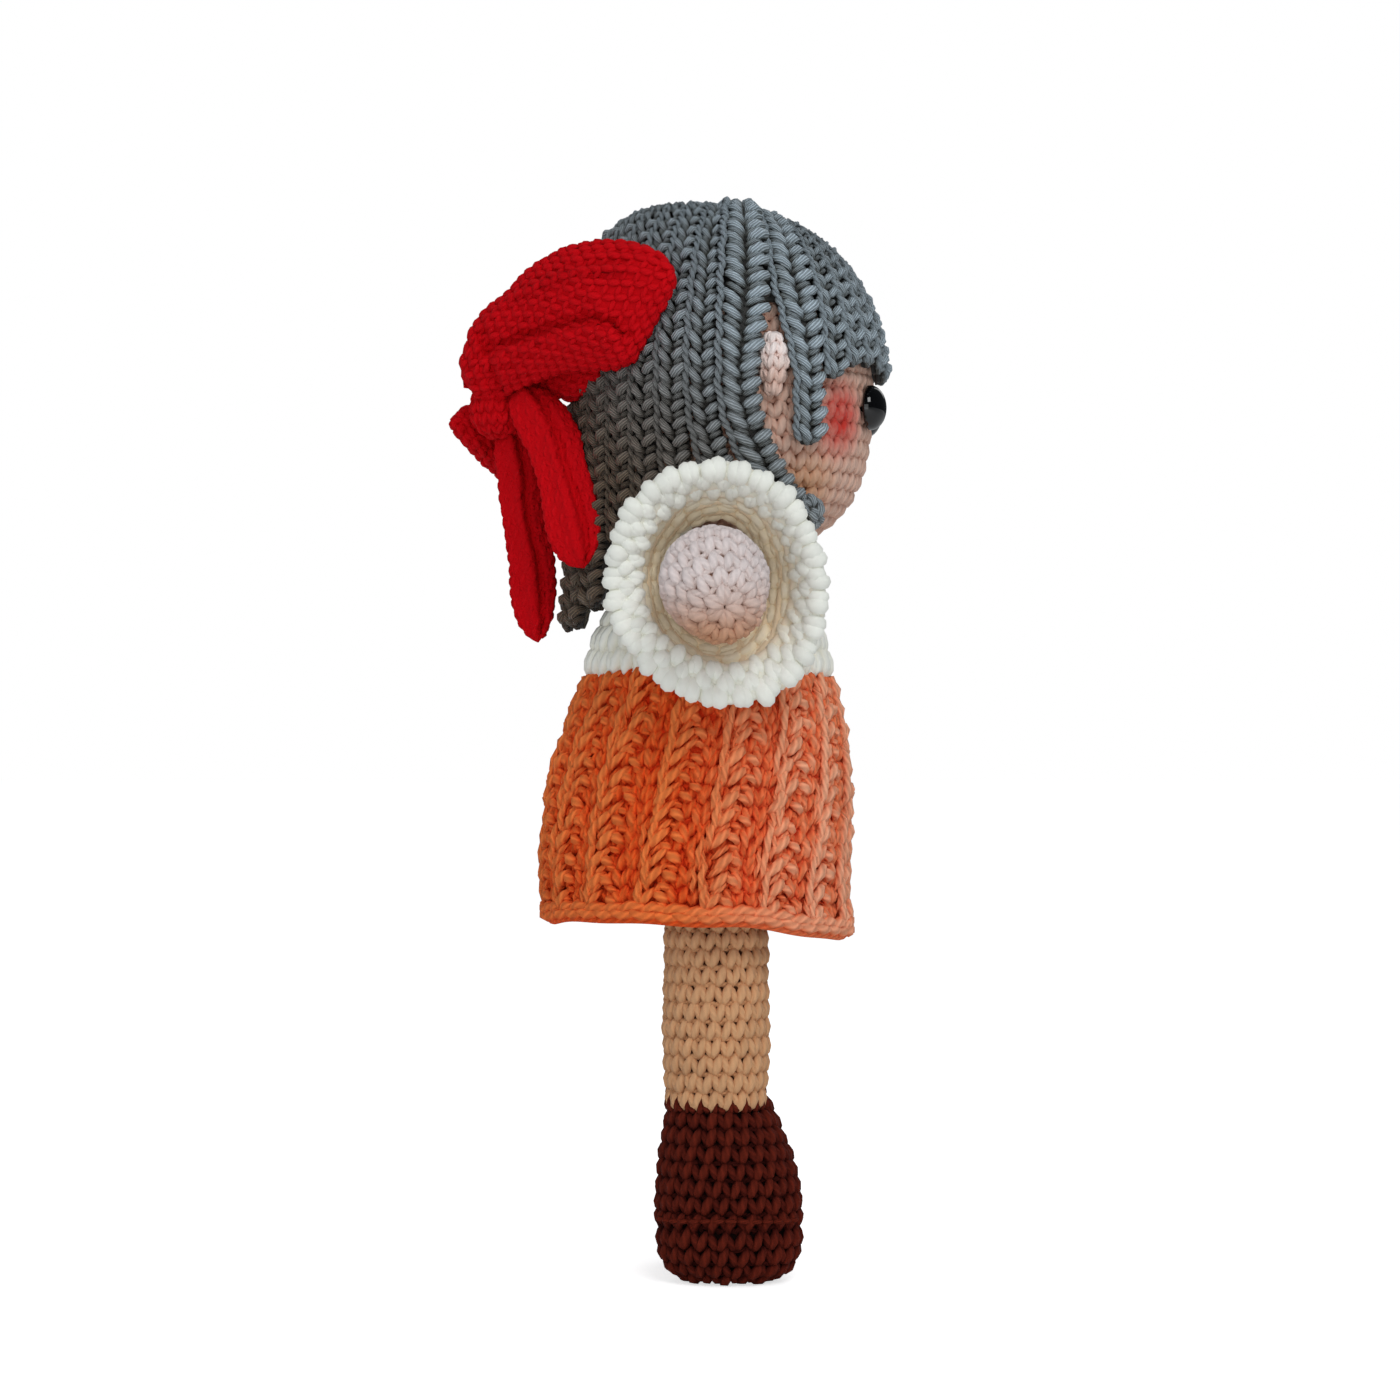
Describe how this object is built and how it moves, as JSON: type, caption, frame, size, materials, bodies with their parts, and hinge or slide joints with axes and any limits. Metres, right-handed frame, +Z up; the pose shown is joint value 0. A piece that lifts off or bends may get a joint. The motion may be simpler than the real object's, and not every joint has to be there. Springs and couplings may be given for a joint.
{
  "type": "crocheted doll",
  "caption": "Crocheted stuffed doll with a round head, yarn strands of hair, a hair bow and a ribbed dress; head, arms, legs and bow tails move.",
  "frame": {"origin": "on the ground, under the middle of the doll's bounding box", "axes": "+X the way the doll faces, +Y to its left, +Z up"},
  "size_m": [0.1148, 0.1684, 0.2891],
  "materials": {
    "skin": "matte",
    "pale_skin": "matte",
    "leg_skin": "matte",
    "hair": "matte",
    "bow": "matte",
    "white_yarn": "matte",
    "orange_yarn": "matte",
    "brown_yarn": "matte",
    "filling": "matte",
    "black_gloss": "gloss",
    "washer": "matte"
  },
  "bodies": {
    "torso": {"body_cover": "skin", "skirt": "orange_yarn", "sleeve_right": "white_yarn", "sleeve_left": "white_yarn", "body_stuffing": "filling", "blouse": "white_yarn", "skirt_hem": "orange_yarn", "back_button": "black_gloss", "button_loop": "white_yarn"},
    "head": {"head_cover": "skin", "head_stuffing": "filling", "hair_cap": "hair", "bow_loop_left": "bow", "eye_right": "black_gloss", "eye_left": "black_gloss", "bow_knot": "bow", "bow_loop_right": "bow", "ear_right": "pale_skin", "ear_left": "pale_skin", "side_lock_right": "hair", "curled_strand_right": "hair", "back_strand_1_right": "hair", "back_strand_2_right": "hair", "back_strand_3_right": "hair", "back_strand_4_right": "hair", "back_strand_5_right": "hair", "back_strand_6_right": "hair", "side_lock_left": "hair", "curled_strand_left": "hair", "back_strand_1_left": "hair", "back_strand_2_left": "hair", "back_strand_3_left": "hair", "back_strand_4_left": "hair", "back_strand_5_left": "hair", "back_strand_6_left": "hair", "back_strand_middle": "hair", "eye_washer_right": "washer", "eye_washer_left": "washer", "fringe_strand_1_right": "hair", "fringe_strand_2_right": "hair", "fringe_strand_3_right": "hair", "fringe_strand_4_right": "hair", "fringe_strand_5_right": "hair", "fringe_strand_1_left": "hair", "fringe_strand_2_left": "hair", "fringe_strand_3_left": "hair", "fringe_strand_4_left": "hair", "fringe_strand_5_left": "hair"},
    "bow_tail_right": {"bow_tail_right": "bow"},
    "bow_tail_left": {"bow_tail_left": "bow"},
    "arm_right": {"arm_cover_right": "pale_skin", "arm_stuffing_right": "filling"},
    "arm_left": {"arm_cover_left": "pale_skin", "arm_stuffing_left": "filling"},
    "leg_right": {"leg_cover_right": "leg_skin", "shoe_cover_right": "brown_yarn", "leg_stuffing_right": "filling"},
    "leg_left": {"leg_cover_left": "leg_skin", "shoe_cover_left": "brown_yarn", "leg_stuffing_left": "filling"}
  },
  "joints": [
    {"name": "head_turn", "type": "hinge", "parent": "torso", "child": "head", "pos_m": [0.0131, 0, 0.195], "axis": [0, 0, 1], "range_deg": [-10, 10]},
    {"name": "arm_lift_right", "type": "hinge", "parent": "torso", "child": "arm_right", "pos_m": [0.01039, -0.0315, 0.188], "axis": [-1, 0, 0], "range_deg": [-20, 20]},
    {"name": "arm_lift_left", "type": "hinge", "parent": "torso", "child": "arm_left", "pos_m": [0.01039, 0.0315, 0.188], "axis": [1, 0, 0], "range_deg": [-20, 20]},
    {"name": "leg_swing_right", "type": "hinge", "parent": "torso", "child": "leg_right", "pos_m": [0.0111, -0.0155, 0.1], "axis": [0, -1, 0], "range_deg": [-20, 20]},
    {"name": "leg_swing_left", "type": "hinge", "parent": "torso", "child": "leg_left", "pos_m": [0.0111, 0.0155, 0.1], "axis": [0, -1, 0], "range_deg": [-20, 20]},
    {"name": "tail_swing_right", "type": "hinge", "parent": "head", "child": "bow_tail_right", "pos_m": [-0.04691, 0, 0.233], "axis": [-1, 0, 0], "range_deg": [0, 20]},
    {"name": "tail_swing_left", "type": "hinge", "parent": "head", "child": "bow_tail_left", "pos_m": [-0.04691, 0, 0.233], "axis": [1, 0, 0], "range_deg": [-15, 15]}
  ]
}
